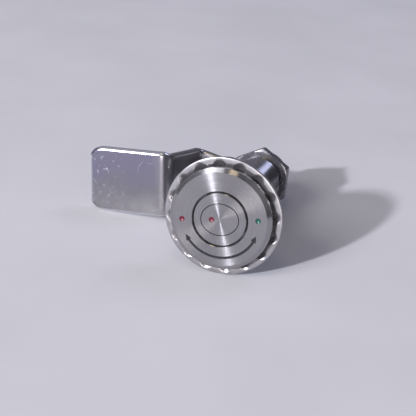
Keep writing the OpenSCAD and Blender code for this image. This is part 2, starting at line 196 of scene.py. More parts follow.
room = bpy.data.worlds.new("room")
bpy.context.scene.world = room
room.use_nodes = True
tree = room.node_tree
tree.nodes.clear()
ray = add(tree, "TexCoord").outputs["Generated"]
height = add(tree, "VectorMath", {"operation": "DOT_PRODUCT"}, {0: ray, 1: board_up})
walls = add(tree, "ValToRGB", None, {"Fac": height.outputs["Value"]},
            [(0.0, ROOM_LOW), (0.8, ROOM_HIGH)])
side = add(tree, "VectorMath", {"operation": "DOT_PRODUCT"}, {0: ray, 1: CURTAIN_SIDE})
curtain = add(tree, "MapRange", None, {
    "Value": side.outputs["Value"], "From Min": 0.1, "From Max": 0.7,
    "To Min": 1.0, "To Max": CURTAIN_DIM})
dimmed = add(tree, "VectorMath", {"operation": "SCALE"}, {
    0: walls.outputs["Color"], "Scale": curtain.outputs["Result"]})
seen = add(tree, "LightPath")
shade = add(tree, "Mix", {"data_type": "RGBA"}, {
    0: seen.outputs["Is Camera Ray"], 6: dimmed.outputs["Vector"], 7: linear(BACKDROP)})
glow = add(tree, "Background", None, {"Color": shade.outputs[2], "Strength": 1.0})
add(tree, "OutputWorld", None, {"Surface": glow.outputs[0]})
bpy.context.scene.view_settings.view_transform = "Standard"


# Housing.
# The boss, thin flange and long barrel are turned from one stainless bar, threaded from the panel
# seat to the end and milled flat down two sides. A lug at the end stops the washer.

BOSS_R, BOSS_FRONT = 13.9, 3.1
FLANGE_R, FLANGE_T, FLANGE_EDGE = 17.4, 0.7, 0.08
HEAD_BORE_R, HEAD_FLOOR = 8.65, 0.3
BARREL_R, BARREL_L, BARREL_CHAMFER = 8.0, 46.4, 0.6
BORE_R = 5.648
REAR_BORE_R, REAR_BORE_H = 7.05, 1.4
FLAT_X = 7.5
# The real thread's pitch is about 1.5 mm, too fine to show, so it is drawn coarser.
PITCH, THREAD_DEPTH = 2.0, 0.60
ROOT_SHARE, CREST_SHARE = 0.25, 0.125       # shares of the pitch
THREAD_MERGE = 0.01
AROUND = 128
LUG_IN_R, LUG_OUT_R, LUG_H, LUG_SUNK = 6.6, 7.9, 1.2, 0.3
LUG_ANGLE, LUG_MIDDLE, LUG_STEPS = 13, 90, 8
POCKET_R, POCKET_END, POCKET_Z, POCKET_SIDES = 1.35, 7.0, 36, 32
SMOOTH_ANGLE = 44.5
# The tool's lines are drawn 0.35 mm apart, coarser than real ones, so that they show.
LINE_SPACING, LINE_LENGTH = 0.35, 25


def laid(points):
    """Turns points drawn with the face up, in millimetres, into the lock's frame, in metres."""
    points = np.asarray(points, float)
    return np.stack([points[:, 0], -points[:, 2], points[:, 1]], axis=1) * MM


def facing_out(made):
    """Turns a closed mesh's faces outwards."""
    work = bmesh.new()
    work.from_mesh(made)
    bmesh.ops.recalc_face_normals(work, faces=work.faces)
    work.to_mesh(made)
    work.free()


def piece(name, points, faces, body, replaced, material, smooth=SMOOTH_ANGLE):
    """A mesh that stands for a node of the frame and rides on the same body."""
    made = bpy.data.meshes.new(name)
    made.from_pydata([tuple(p) for p in laid(points)], [], faces)
    made.validate()
    facing_out(made)
    made.shade_smooth()
    made.set_sharp_from_angle(angle=math.radians(smooth))
    made.materials.append(material)
    thing = bpy.data.objects.new(name, made)
    bpy.context.scene.collection.objects.link(thing)
    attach(thing, body)
    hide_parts(replaced)
    return thing


def rings(profile, around=AROUND):
    """Points and faces of a closed profile of (radius, height) turned about the axis."""
    points, faces = [], []
    for r, z in profile:
        for j in range(around):
            a = 2 * math.pi * j / around
            points.append((r * math.cos(a), r * math.sin(a), z))
    rows = len(profile)
    for i in range(rows):
        for j in range(around):
            k = (i + 1) % rows
            faces.append((i * around + j, i * around + (j + 1) % around,
                          k * around + (j + 1) % around, k * around + j))
    return points, faces


def thread_sheet(first):
    """Points and faces of the cut thread, and its two edge loops, numbered from first."""
    root_r = BARREL_R - THREAD_DEPTH
    flank = (1 - ROOT_SHARE - CREST_SHARE) / 2
    turns = int(BARREL_L / PITCH) + 3
    points, faces = [], []
    edge = {}

    def crest_limit(a):
        return min(BARREL_R, FLAT_X / max(abs(math.cos(a)), 1e-6))

    def radius(a, z):
        share = (z / PITCH - a / (2 * math.pi)) % 1.0
        away = min(share, 1 - share)
        cut = root_r + (away - ROOT_SHARE / 2) / flank * THREAD_DEPTH
        r = min(crest_limit(a), max(root_r, cut))
        if z < BARREL_CHAMFER - BARREL_L:
            r = min(r, BARREL_R - BARREL_CHAMFER + (z + BARREL_L))
        return r

    def place(a, r, z):
        return (r * math.cos(a), r * math.sin(a), z)

    for end, z in enumerate((-BARREL_L, 0.0)):
        for j in range(AROUND):
            a = 2 * math.pi * j / AROUND
            edge[end, j] = first + len(points)
            points.append(place(a, radius(a, z), z))
    index = {}

    def corner(k, j):
        """The point of thread line k at column j. Each turn has four lines, two at its root."""
        turn, part = divmod(k + 4 * (j // AROUND), 4)
        j %= AROUND
        a = 2 * math.pi * j / AROUND
        crest = 0.5 - CREST_SHARE / 2 - (BARREL_R - crest_limit(a)) / THREAD_DEPTH * flank
        share = (-ROOT_SHARE / 2, ROOT_SHARE / 2, crest, 1 - crest)[part]
        z = (turn + share + a / (2 * math.pi)) * PITCH
        if z <= -BARREL_L + THREAD_MERGE:
            return edge[0, j]
        if z >= -THREAD_MERGE:
            return edge[1, j]
        key = (turn, part, j)
        if key not in index:
            index[key] = first + len(points)
            points.append(place(a, radius(a, z), z))
        return index[key]

    for k in range(-4 * turns, 4):
        for j in range(AROUND):
            loop = [corner(k, j), corner(k, j + 1), corner(k + 1, j + 1), corner(k + 1, j)]
            loop = [v for i, v in enumerate(loop) if v != loop[i - 1]]
            if len(set(loop)) > 2:
                faces.append(loop)
    rear, front = ([edge[end, j] for j in range(AROUND)] for end in (0, 1))
    return points, faces, rear, front


def housing_mesh():
    """Points and faces of the housing, its thread and its stop lug."""
    profile = [
        (REAR_BORE_R, -BARREL_L), (REAR_BORE_R, REAR_BORE_H - BARREL_L),
        (BORE_R, REAR_BORE_H - BARREL_L), (BORE_R, HEAD_FLOOR), (HEAD_BORE_R, HEAD_FLOOR),
        (HEAD_BORE_R, BOSS_FRONT), (BOSS_R, BOSS_FRONT), (BOSS_R, FLANGE_T),
        (FLANGE_R - FLANGE_EDGE, FLANGE_T), (FLANGE_R, FLANGE_T - FLANGE_EDGE),
        (FLANGE_R, FLANGE_EDGE), (FLANGE_R - FLANGE_EDGE, 0)]
    points, faces = rings(profile)
    faces = faces[:-AROUND]
    sheet, sheet_faces, rear, front = thread_sheet(len(points))
    points += sheet
    faces += sheet_faces
    last = (len(profile) - 1) * AROUND
    for j in range(AROUND):
        n = (j + 1) % AROUND
        faces.append((last + j, last + n, front[n], front[j]))
        faces.append((rear[j], rear[n], n, j))
    start = len(points)
    for z in (LUG_SUNK - BARREL_L, -BARREL_L - LUG_H):
        for r in (LUG_IN_R, LUG_OUT_R):
            for i in range(LUG_STEPS + 1):
                a = math.radians(LUG_MIDDLE - LUG_ANGLE / 2 + LUG_ANGLE * i / LUG_STEPS)
                points.append((r * math.cos(a), r * math.sin(a), z))
    row = LUG_STEPS + 1
    for i in range(LUG_STEPS):
        for p, q in ((0, 1), (1, 3), (3, 2), (2, 0)):
            faces.append((start + p * row + i, start + q * row + i,
                          start + q * row + i + 1, start + p * row + i + 1))
    faces.append([start + k * row for k in (0, 2, 3, 1)])
    faces.append([start + k * row + LUG_STEPS for k in (0, 1, 3, 2)])
    return points, faces


def cut_away(thing, cutter_points, cutter_faces):
    """Cuts a closed shape, drawn with the face up, out of a piece."""
    made = bpy.data.meshes.new("cutter")
    made.from_pydata([tuple(p) for p in laid(cutter_points)], [], cutter_faces)
    facing_out(made)
    cutter = bpy.data.objects.new("cutter", made)
    bpy.context.scene.collection.objects.link(cutter)
    cut = thing.modifiers.new("cut", "BOOLEAN")
    cut.operation, cut.solver, cut.object = "DIFFERENCE", "EXACT", cutter
    evaluated = thing.evaluated_get(bpy.context.evaluated_depsgraph_get())
    cut_mesh = bpy.data.meshes.new_from_object(evaluated)
    thing.modifiers.clear()
    thing.data = cut_mesh
    bpy.data.objects.remove(cutter)


# Machined stainless steel: bright, with the fine lines that the tool leaves round the bar, and
# painted shade that darkens the thread down in its roots.
body_steel, tree = new_material("machined_stainless")
spot = add(tree, "TexCoord").outputs["Object"]
lines = add(tree, "Mapping", None, {
    "Vector": spot, "Scale": (METRE / LINE_LENGTH, METRE / LINE_SPACING, METRE / LINE_LENGTH)})
turning = add(tree, "TexNoise", None, {
    "Vector": lines.outputs["Vector"], "Scale": 1.0, "Detail": 2.0})
bright = add(tree, "ValToRGB", None, {"Fac": turning.outputs["Fac"]},
             [(NOISE_LOW, "#9b999e"), (NOISE_HIGH, "#aba9ae")])
flat = add(tree, "VectorMath", {"operation": "MULTIPLY"}, {0: spot, 1: (1, 0, 1)})
radius = add(tree, "VectorMath", {"operation": "LENGTH"}, {0: flat.outputs["Vector"]})
# Painted shade: the colour darkens towards the roots of the thread.
root_shade = add(tree, "MapRange", None, {
    "Value": radius.outputs["Value"], "From Min": (BARREL_R - THREAD_DEPTH + 0.1) * MM,
    "From Max": (BARREL_R - 0.1) * MM})
tone = add(tree, "Mix", {"data_type": "RGBA"}, {
    0: root_shade.outputs["Result"], 6: linear("#66656c"), 7: bright.outputs["Color"]})
gloss = add(tree, "MapRange", None, {
    "Value": turning.outputs["Fac"], "From Min": NOISE_LOW, "From Max": NOISE_HIGH,
    "To Min": 0.16, "To Max": 0.24})
relief = add(tree, "Bump", None, {
    "Height": turning.outputs["Fac"], "Strength": 0.25, "Distance": 0.02 * MM})
skin = add(tree, "BsdfPrincipled", None, {
    "Base Color": tone.outputs[2], "Metallic": 0.9, "Roughness": gloss.outputs["Result"],
    "Normal": relief.outputs["Normal"]})
finished(tree, skin)

points, faces = housing_mesh()
housing = piece("threaded_housing", points, faces, "lock_body", "housing",
                body_steel)
corners = [2 * math.pi * i / POCKET_SIDES for i in range(POCKET_SIDES)]
points = [(POCKET_R * math.cos(a), y, POCKET_R * math.sin(a) - POCKET_Z)
          for y in (-POCKET_END, POCKET_END) for a in corners]
faces = [list(range(POCKET_SIDES)), list(range(2 * POCKET_SIDES - 1, POCKET_SIDES - 1, -1))]
for i in range(POCKET_SIDES):
    n = (i + 1) % POCKET_SIDES
    faces.append((i, i + POCKET_SIDES, n + POCKET_SIDES, n))
cut_away(housing, points, faces)


# Face plate.
# A round disc of stainless steel, turned on a lathe so that its rings throw a bow-tie of light.
# It has a wide bevel round its rim, and it sits on the boss.

# The rings that show are drawn 0.45 mm apart. Real ones lie closer, as the tool's feed does.
RING_SPACING, TOOL_FEED = 0.45, 0.04
FACE_LEVEL = 0.95           # cosine: a normal nearer to the axis is on the face, not the bevel


def clothe(material, *names):
    """Gives nodes of the frame a finish. Their meshes stay as they are."""
    for name in names:
        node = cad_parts[name]
        node.data.materials.clear()
        node.data.materials.append(material)


# Lathe-turned stainless steel: each pass of the tool leaves a ring, some sharp and some matt, so
# that a lamp shows as a thin streak over an even sheen. The bevel was cut in one smooth pass.
turned_steel, tree = new_material("turned_stainless")
where = add(tree, "TexCoord")
spot = where.outputs["Object"]
flat = add(tree, "VectorMath", {"operation": "MULTIPLY"}, {0: spot, 1: (1, 0, 1)})
radius = add(tree, "VectorMath", {"operation": "LENGTH"}, {0: flat.outputs["Vector"]})
round_axis = add(tree, "VectorMath", {"operation": "CROSS_PRODUCT"}, {0: (0, 1, 0), 1: spot})
along = add(tree, "VectorTransform", {
    "vector_type": "VECTOR", "convert_from": "OBJECT", "convert_to": "WORLD"},
            {"Vector": round_axis.outputs["Vector"]})
cut = add(tree, "TexNoise", {"noise_dimensions": "1D"}, {
    "W": radius.outputs["Value"], "Scale": METRE / RING_SPACING, "Detail": 3.0, "Roughness": 0.7})
tone = add(tree, "ValToRGB", None, {"Fac": cut.outputs["Fac"]},
           [(NOISE_LOW, "#979598"), (NOISE_HIGH, "#a2a0a3")])
fine = add(tree, "TexNoise", {"noise_dimensions": "1D"}, {
    "W": radius.outputs["Value"], "Scale": METRE / TOOL_FEED, "Detail": 0.0})
matt = add(tree, "MapRange", None, {
    "Value": fine.outputs["Fac"], "From Min": 0.50, "From Max": 0.75,
    "To Min": 0.15, "To Max": 0.32})
facing = add(tree, "VectorMath", {"operation": "DOT_PRODUCT"}, {
    0: where.outputs["Normal"], 1: (0, -1, 0)})
on_face = add(tree, "Math", {"operation": "GREATER_THAN"}, {
    0: facing.outputs["Value"], 1: FACE_LEVEL})
gloss = add(tree, "Mix", None, {0: on_face.outputs[0], 2: 0.20, 3: matt.outputs["Result"]})
relief = add(tree, "Bump", None, {
    "Height": cut.outputs["Fac"], "Strength": 0.1, "Distance": 0.02 * MM})
skin = add(tree, "BsdfPrincipled", None, {
    "Base Color": tone.outputs["Color"], "Metallic": 0.9, "Roughness": gloss.outputs[0],
    "Anisotropic": 1.0, "Anisotropic Rotation": 0.25, "Tangent": along.outputs["Vector"],
    "Normal": relief.outputs["Normal"]})
finished(tree, skin)
clothe(turned_steel, "face_plate")


# Guard ring.
# A loose collar of stainless steel behind the face plate. Sixteen finger scoops are milled across
# it, deeper towards the middle, and it spins when someone grips it.

RING_R, RING_IN_R = 18.36, 14.2
RING_BACK, RING_CROWN, RING_RIM = 0.9, 2.1, 2.0
RING_LIP_T = 0.55
CROWN_IN_R, CROWN_OUT_R = 16.9, 18.0
SCOOP_N, SCOOP_R, SCOOP_TILT, SCOOP_RISE = 16, 3.0, 26, 0.30
SCOOP_STEPS, RING_ROWS = 24, 26
RING_SOFT, RING_THIN = 0.22, 0.12
RING_EDGE, RING_SEEK = 0.1, 0.02
RIM_ROUND = [(0.03, 0.04), (0.0, 0.13)]     # in from the rim and down from the front
RING_WAVE, RING_GRAIN = 2.5, 0.4


def soft_min(a, b, width):
    """The lower of two heights, with their edge rounded."""
    near = max(width - abs(a - b), 0) / width
    return min(a, b) - near * near * width / 4


def ring_height(r, a):
    """Height of the ring's front at a radius and an angle."""
    crown = min(RING_CROWN, RING_BACK + RING_LIP_T + (r - RING_IN_R) / (CROWN_IN_R - RING_IN_R)
                * (RING_CROWN - RING_BACK - RING_LIP_T))
    rim = RING_CROWN - (r - CROWN_OUT_R) * (RING_CROWN - RING_RIM) / (RING_R - CROWN_OUT_R)
    top = soft_min(crown, rim, RING_SOFT)
    pitch = 2 * math.pi / SCOOP_N
    turn = (a + pitch / 2) % pitch - pitch / 2
    x, y = r * math.cos(turn), r * math.sin(turn)
    if abs(y) >= SCOOP_R:
        return top
    tilt = math.radians(SCOOP_TILT)
    axis_z = RING_RIM + SCOOP_RISE + SCOOP_R / math.cos(tilt)
    deep = math.sqrt(SCOOP_R ** 2 - y * y)
    scoop = axis_z + (math.sin(tilt) * (x - RING_R) - deep) / math.cos(tilt)
    return soft_min(top, scoop, RING_SOFT)


def closed_grid(columns, row):
    """Faces of a grid that closes both ways, whose points are numbered column by column."""
    faces = []
    for j in range(columns):
        n = (j + 1) % columns
        for i in range(row):
            k = (i + 1) % row
            faces.append((j * row + i, n * row + i, n * row + k, j * row + k))
    return faces


def ring_mesh():
    """Points and faces of the scooped ring, as a grid of angle and radius."""
    columns = SCOOP_N * SCOOP_STEPS
    points = []
    for j in range(columns):
        a = 2 * math.pi * j / columns
        inner = RING_IN_R
        while ring_height(inner, a) < RING_BACK + RING_THIN:
            inner += RING_SEEK
        c, s = math.cos(a), math.sin(a)
        column = [(inner, RING_BACK)]
        for i in range(RING_ROWS + 1):
            r = inner + (RING_R - RING_EDGE - inner) * i / RING_ROWS
            column.append((r, ring_height(r, a)))
        rim = column[-1][1]
        column += [(RING_R - inward, rim - down) for inward, down in RIM_ROUND]
        column += [(RING_R, RING_BACK + RING_EDGE), (RING_R - RING_EDGE, RING_BACK)]
        points += [(r * c, r * s, z) for r, z in column]
    return points, closed_grid(columns, len(points) // columns)


# Tumbled stainless steel: soft, bright and smooth, with a slight waviness in what it mirrors.
ring_steel, tree = new_material("tumbled_stainless")
spot = add(tree, "TexCoord").outputs["Object"]
wave = add(tree, "TexNoise", None, {"Vector": spot, "Scale": METRE / RING_WAVE, "Detail": 2.0})
grain = add(tree, "TexNoise", None, {"Vector": spot, "Scale": METRE / RING_GRAIN, "Detail": 2.0})
tone = add(tree, "ValToRGB", None, {"Fac": wave.outputs["Fac"]},
           [(NOISE_LOW, "#a09da0"), (NOISE_HIGH, "#b0aeb1")])
gloss = add(tree, "MapRange", None, {
    "Value": grain.outputs["Fac"], "From Min": NOISE_LOW, "From Max": NOISE_HIGH,
    "To Min": 0.28, "To Max": 0.38})
relief = add(tree, "Bump", None, {
    "Height": wave.outputs["Fac"], "Strength": 0.12, "Distance": 0.05 * MM})
skin = add(tree, "BsdfPrincipled", None, {
    "Base Color": tone.outputs["Color"], "Metallic": 0.9, "Roughness": gloss.outputs["Result"],
    "Normal": relief.outputs["Normal"]})
finished(tree, skin)

points, faces = ring_mesh()
piece("scooped_ring", points, faces, "guard", "guard_ring", ring_steel, smooth=50)


# Rotor and key plug.
# Both are turned with the face plate's finish. The rotor fills the bore, and the oval plug
# that the key pushes in sits in the middle of its head.

clothe(turned_steel, "rotor", "plug")


# Marks.
# The dots are drops of enamel in drilled pockets, and the arrow is engraved and filled with
# dark paint.

DOT_FRONT, DOT_DISH = 5.2, 0.32
DISH_RINGS, DOT_AROUND = 8, 48
DOT_CENTRE = 0.02                   # radius of the middle that is left open, as a share
ENAMEL_CLOUD, PAINT_CLOUD = 0.6, 0.8


def enamel(name, code):
    """Stoved enamel: an even colour under a glossy skin, a little uneven where it dried."""
    material, tree = new_material(name)
    spot = add(tree, "TexCoord").outputs["Object"]
    cloud = add(tree, "TexNoise", None, {"Vector": spot, "Scale": METRE / ENAMEL_CLOUD})
    tone = add(tree, "Mix", {"data_type": "RGBA", "blend_type": "MULTIPLY"}, {
        0: 0.3, 6: linear(code), 7: cloud.outputs["Fac"]})
    skin = add(tree, "BsdfPrincipled", None, {
        "Base Color": tone.outputs[2], "Roughness": 0.3,
        "Coat Weight": 0.3, "Coat Roughness": 0.08})
    finished(tree, skin)
    return material


def dot_mesh(node):
    """Points and faces of a drop of enamel whose top dried to a shallow dish."""
    low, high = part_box(node)
    middle, r = (low[0] + high[0]) / 2 / MM, (high[0] - low[0]) / 2 / MM
    back, front = -high[1] / MM, DOT_FRONT
    dish = [(r * i / DISH_RINGS, front - DOT_DISH * (1 - (i / DISH_RINGS) ** 2))
            for i in range(1, DISH_RINGS)]
    centre = [(r * DOT_CENTRE, back), (r * DOT_CENTRE, front - DOT_DISH)]
    points, faces = rings(centre + dish + [(r, front), (r, back)], DOT_AROUND)
    return [(x + middle, y, z) for x, y, z in points], faces


red_enamel = enamel("red_enamel", "#6a0726")
green_enamel = enamel("green_enamel", "#06524a")
for node, body, slot, paint in (("red_dot_left", "lock_body", "red_enamel", red_enamel),
                                ("red_dot_plug", "plug_set", "red_enamel", red_enamel),
                                ("green_dot_right", "lock_body", "green_enamel", green_enamel)):
    points, faces = dot_mesh(node)
    piece(node + "_drop", points, faces, body, node, paint)

# Engraver's paint: matt, nearly black, thinner in places.
engraved_paint, tree = new_material("engraved_paint")
spot = add(tree, "TexCoord").outputs["Object"]
cloud = add(tree, "TexNoise", None, {"Vector": spot, "Scale": METRE / PAINT_CLOUD, "Detail": 3.0})
tone = add(tree, "ValToRGB", None, {"Fac": cloud.outputs["Fac"]},
           [(NOISE_LOW, "#17181c"), (NOISE_HIGH, "#26272b")])
skin = add(tree, "BsdfPrincipled", None, {
    "Base Color": tone.outputs["Color"], "Roughness": 0.6, "Specular IOR Level": 0.3})
finished(tree, skin)
clothe(engraved_paint, "arrow_fill")


# Seal and reader module.
# A ring of black rubber keeps water out behind the rotor's head. The module that reads the
# key is potted in dark plastic, deep in the rotor.

RUBBER_BLOOM, RESIN_CLOUD = 0.5, 3

# Nitrile rubber: black and satin, with a fine bloom.
seal_rubber, tree = new_material("nitrile_rubber")
spot = add(tree, "TexCoord").outputs["Object"]
bloom = add(tree, "TexNoise", None, {"Vector": spot, "Scale": METRE / RUBBER_BLOOM, "Detail": 4.0})
tone = add(tree, "ValToRGB", None, {"Fac": bloom.outputs["Fac"]},
           [(NOISE_LOW, "#141415"), (NOISE_HIGH, "#242427")])
skin = add(tree, "BsdfPrincipled", None, {"Base Color": tone.outputs["Color"], "Roughness": 0.55})
finished(tree, skin)
clothe(seal_rubber, "rotor_seal")

# Potting resin: dark grey and smooth, with faint clouds.
module_resin, tree = new_material("potting_resin")
spot = add(tree, "TexCoord").outputs["Object"]
cloud = add(tree, "TexNoise", None, {"Vector": spot, "Scale": METRE / RESIN_CLOUD, "Detail": 2.0})
tone = add(tree, "ValToRGB", None, {"Fac": cloud.outputs["Fac"]},
           [(NOISE_LOW, "#23262a"), (NOISE_HIGH, "#33373c")])
skin = add(tree, "BsdfPrincipled", None, {"Base Color": tone.outputs["Color"], "Roughness": 0.4})
finished(tree, skin)
clothe(module_resin, "reader_module")


# Springs, clip and pins.
# Coils, snap ring and split washer are spring steel. Pins, stop washer and bolt are plain steel.
# The plug's spring is wound with closed ends and stands on the module, and the plug shortens it.

SPRING_R, SPRING_WIRE, SPRING_TURNS = 1.935, 0.3, 5     # SPRING_WIRE is the wire's radius
SPRING_FRONT, SPRING_BACK = 8.09, 13.91
SPRING_CLOSED, SPRING_RISE = 0.8, 2.1       # closed turns at each end, and wire radii they rise
SPRING_AROUND, SPRING_SIDES = 24, 10
SPRING_GRAIN, BOLT_GRAIN = 0.7, 0.9

# Spring steel: darker than stainless, drawn smooth.
spring_steel, tree = new_material("spring_steel")
spot = add(tree, "TexCoord").outputs["Object"]
draw = add(tree, "TexNoise", None, {"Vector": spot, "Scale": METRE / SPRING_GRAIN, "Detail": 3.0})
tone = add(tree, "ValToRGB", None, {"Fac": draw.outputs["Fac"]},
           [(NOISE_LOW, "#86858a"), (NOISE_HIGH, "#a3a2a7")])
gloss = add(tree, "MapRange", None, {
    "Value": draw.outputs["Fac"], "From Min": NOISE_LOW, "From Max": NOISE_HIGH,
    "To Min": 0.28, "To Max": 0.42})
skin = add(tree, "BsdfPrincipled", None, {
    "Base Color": tone.outputs["Color"], "Metallic": 1.0, "Roughness": gloss.outputs["Result"]})
finished(tree, skin)
clothe(spring_steel, "blocking_spring", "retaining_ring", "spring_washer")


def spring_mesh():
    """Points and faces of the plug's coil spring."""
    span = SPRING_BACK - SPRING_FRONT - 2 * SPRING_WIRE
    closed = SPRING_CLOSED * SPRING_RISE * SPRING_WIRE
    steps, sides = SPRING_TURNS * SPRING_AROUND, SPRING_SIDES
    points, faces = [], []
    for i in range(steps + 1):
        turns = i / SPRING_AROUND
        a = 2 * math.pi * turns
        deep = np.interp(turns, (0, SPRING_CLOSED, SPRING_TURNS - SPRING_CLOSED, SPRING_TURNS),
                         (0, closed, span - closed, span))
        for k in range(sides):
            b = 2 * math.pi * k / sides
            r = SPRING_R + SPRING_WIRE * math.cos(b)
            points.append((r * math.cos(a), r * math.sin(a),
                           SPRING_WIRE * math.sin(b) - SPRING_FRONT - SPRING_WIRE - deep))
    for i in range(steps):
        for k in range(sides):
            n = (k + 1) % sides
            faces.append((i * sides + k, i * sides + n, (i + 1) * sides + n, (i + 1) * sides + k))
    faces += [list(range(sides)), list(range(steps * sides + sides - 1, steps * sides - 1, -1))]
    return points, faces


points, faces = spring_mesh()
plug_spring = piece("closed_end_spring", points, faces, "rotor_set",
                    "plug_spring", spring_steel)
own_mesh(plug_spring)

# Bright steel: the finish of a stock bolt, with small marks of handling.
bolt_steel, tree = new_material("bright_steel")
spot = add(tree, "TexCoord").outputs["Object"]
marks = add(tree, "TexNoise", None, {"Vector": spot, "Scale": METRE / BOLT_GRAIN, "Detail": 5.0})
tone = add(tree, "ValToRGB", None, {"Fac": marks.outputs["Fac"]},
           [(NOISE_LOW, "#acaaad"), (NOISE_HIGH, "#bab8bb")])
gloss = add(tree, "MapRange", None, {
    "Value": marks.outputs["Fac"], "From Min": NOISE_LOW, "From Max": NOISE_HIGH,
    "To Min": 0.24, "To Max": 0.30})
skin = add(tree, "BsdfPrincipled", None, {
    "Base Color": tone.outputs["Color"], "Metallic": 1.0, "Roughness": gloss.outputs["Result"]})
finished(tree, skin)
clothe(bolt_steel, "plug_pin", "blocking_pin", "stop_washer", "cam_bolt")


# Mounting nut.
# A thin hexagon nut cut from bar. Its corners are turned off on the face towards the panel.

NUT_AF, NUT_T, NUT_BACK = 19.0, 3.0, 45.8
NUT_BORE_R, NUT_BORE_CHAMFER = 7.85, 0.15
NUT_TURN = 79.4
NUT_FLAT_SHARE, NUT_CONE = 1.03, 0.45       # the cone's start, over the flats, and its slope
NUT_STEPS, NUT_ROWS, NUT_SOFT = 20, 10, 0.15
NUT_CORNER_CUT, NUT_CORNER_SOFT = 0.12, 0.2
NUT_EDGE = 0.08
NUT_RIM_ROUND = [(0.02, 0.04), (0.0, 0.1)]  # in from the wall and down from the front
NUT_GRAIN = 1.5


def nut_mesh():
    """Points and faces of the nut, as a grid of angle and radius."""
    columns = 6 * NUT_STEPS
    back, front = -NUT_BACK, NUT_T - NUT_BACK
    corner_r, cone_r = NUT_AF / math.sqrt(3), NUT_AF / 2 * NUT_FLAT_SHARE
    first = NUT_BORE_R + NUT_BORE_CHAMFER
    points = []
    for j in range(columns):
        a = 2 * math.pi * j / columns
        away = a % (math.pi / 3) - math.pi / 6
        wall = soft_min(NUT_AF / 2 / math.cos(away), corner_r - NUT_CORNER_CUT, NUT_CORNER_SOFT)
        turn = a + math.radians(NUT_TURN)
        column = [(NUT_BORE_R, back + NUT_BORE_CHAMFER), (NUT_BORE_R, front - NUT_BORE_CHAMFER),
                  (first, front)]
        for i in range(1, NUT_ROWS + 1):
            r = first + (wall - NUT_EDGE - first) * i / NUT_ROWS
            column.append((r, soft_min(front, front - (r - cone_r) * NUT_CONE, NUT_SOFT)))
        rim = column[-1][1]
        column += [(wall - inward, rim - down) for inward, down in NUT_RIM_ROUND]
        column += [(wall, back + NUT_EDGE), (wall - NUT_EDGE, back), (first, back)]
        points += [(r * math.cos(turn), r * math.sin(turn), z) for r, z in column]
    return points, closed_grid(columns, len(points) // columns)


# Nut steel: greyer than the turned parts, a copy of the stainless whose colour carries painted
# shade.
shaded_nut_steel, tree = new_material("nut_steel_painted_shade")
spot = add(tree, "TexCoord").outputs["Object"]
drawn = add(tree, "TexNoise", None, {"Vector": spot, "Scale": METRE / NUT_GRAIN, "Detail": 4.0})
# Painted shade: the nut's tone is set darker than the housing's, with a fine grain.
tone = add(tree, "ValToRGB", None, {"Fac": drawn.outputs["Fac"]},
           [(NOISE_LOW, "#85848a"), (NOISE_HIGH, "#918f95")])
gloss = add(tree, "MapRange", None, {
    "Value": drawn.outputs["Fac"], "From Min": NOISE_LOW, "From Max": NOISE_HIGH,
    "To Min": 0.24, "To Max": 0.30})
relief = add(tree, "Bump", None, {
    "Height": drawn.outputs["Fac"], "Strength": 0.15, "Distance": 0.02 * MM})
skin = add(tree, "BsdfPrincipled", None, {
    "Base Color": tone.outputs["Color"], "Metallic": 0.9, "Roughness": gloss.outputs["Result"],
    "Normal": relief.outputs["Normal"]})
finished(tree, skin)

points, faces = nut_mesh()
piece("hexagon_nut", points, faces, "lock_body", "mounting_nut", shaded_nut_steel,
      smooth=28)


# Cam.
# A strip of 3 mm stainless sheet, cranked towards the panel, with a joggle before its eye. It was
# blanked, bent and tumbled, so its edges are round. Its square hole fits the rotor's tail.

CAM_T, CAM_ANGLE = 3.0, 175
# The strip's middle line, as distance from the axis and height, and the radius of each bend.
CAM_PATH = [(-8.5, -49.4), (12.3, -49.4), (14.5, -46.3), (23.3, -46.3), (27.1, -23.9),
            (54.6, -23.9)]
CAM_BENDS = [2, 2, 2.8, 3.2]
CAM_STEP, BEND_STEPS = 0.8, 10
CAM_EYE_R, CAM_REACH, CAM_CORNER_R = 8.5, 54.6, 5.6
CAM_WIDTHS = [(7.0, 4.8), (10.5, 4.8), (14.5, 5.712), (21.8, 7.728), (24.2, 8.736),
              (28.1, 11.2), (49.6, 11.2)]   # distance from the axis and half width
CAM_EDGE_R = 1.3
CAM_HOLE, CAM_HOLE_SPAN = 8.1, (-52.0, -46.5)
# Rows near the strip's ends, and lanes near its sides, lie closer to follow the rounded edges.
CAM_NEAR = [0.01, 0.04, 0.1, 0.18, 0.3, 0.45, 0.65, 0.9, 1.2, 1.6, 2.1, 2.7, 3.4, 4.2]
CAM_LANES = [0, 0.04, 0.12, 0.25, 0.45, 0.7, 1.0, 1.3]
CAM_NARROW, CAM_INNER_LANES = 1.6, 13
CAM_NEAR_END, CAM_EYE_END = 5, 9
CAM_WAVE, CAM_GRAIN, CAM_PATCH, CAM_PIT = 9, 0.6, 3.5, 1.0
# Spread, heights and fade of the painted reflection on the plate.
CAM_CLOUD, CAM_REFLECTION_LOW, CAM_REFLECTION_HIGH = 14.0, -2, 19
CAM_REFLECTION_FROM, CAM_REFLECTION_FADE = 25.0, 6
CAM_KNOCK_FROM, CAM_KNOCK_FADE = 40.0, 5
SCRATCH_SPAN, SCRATCH_WIDTH = 5.0, 0.1


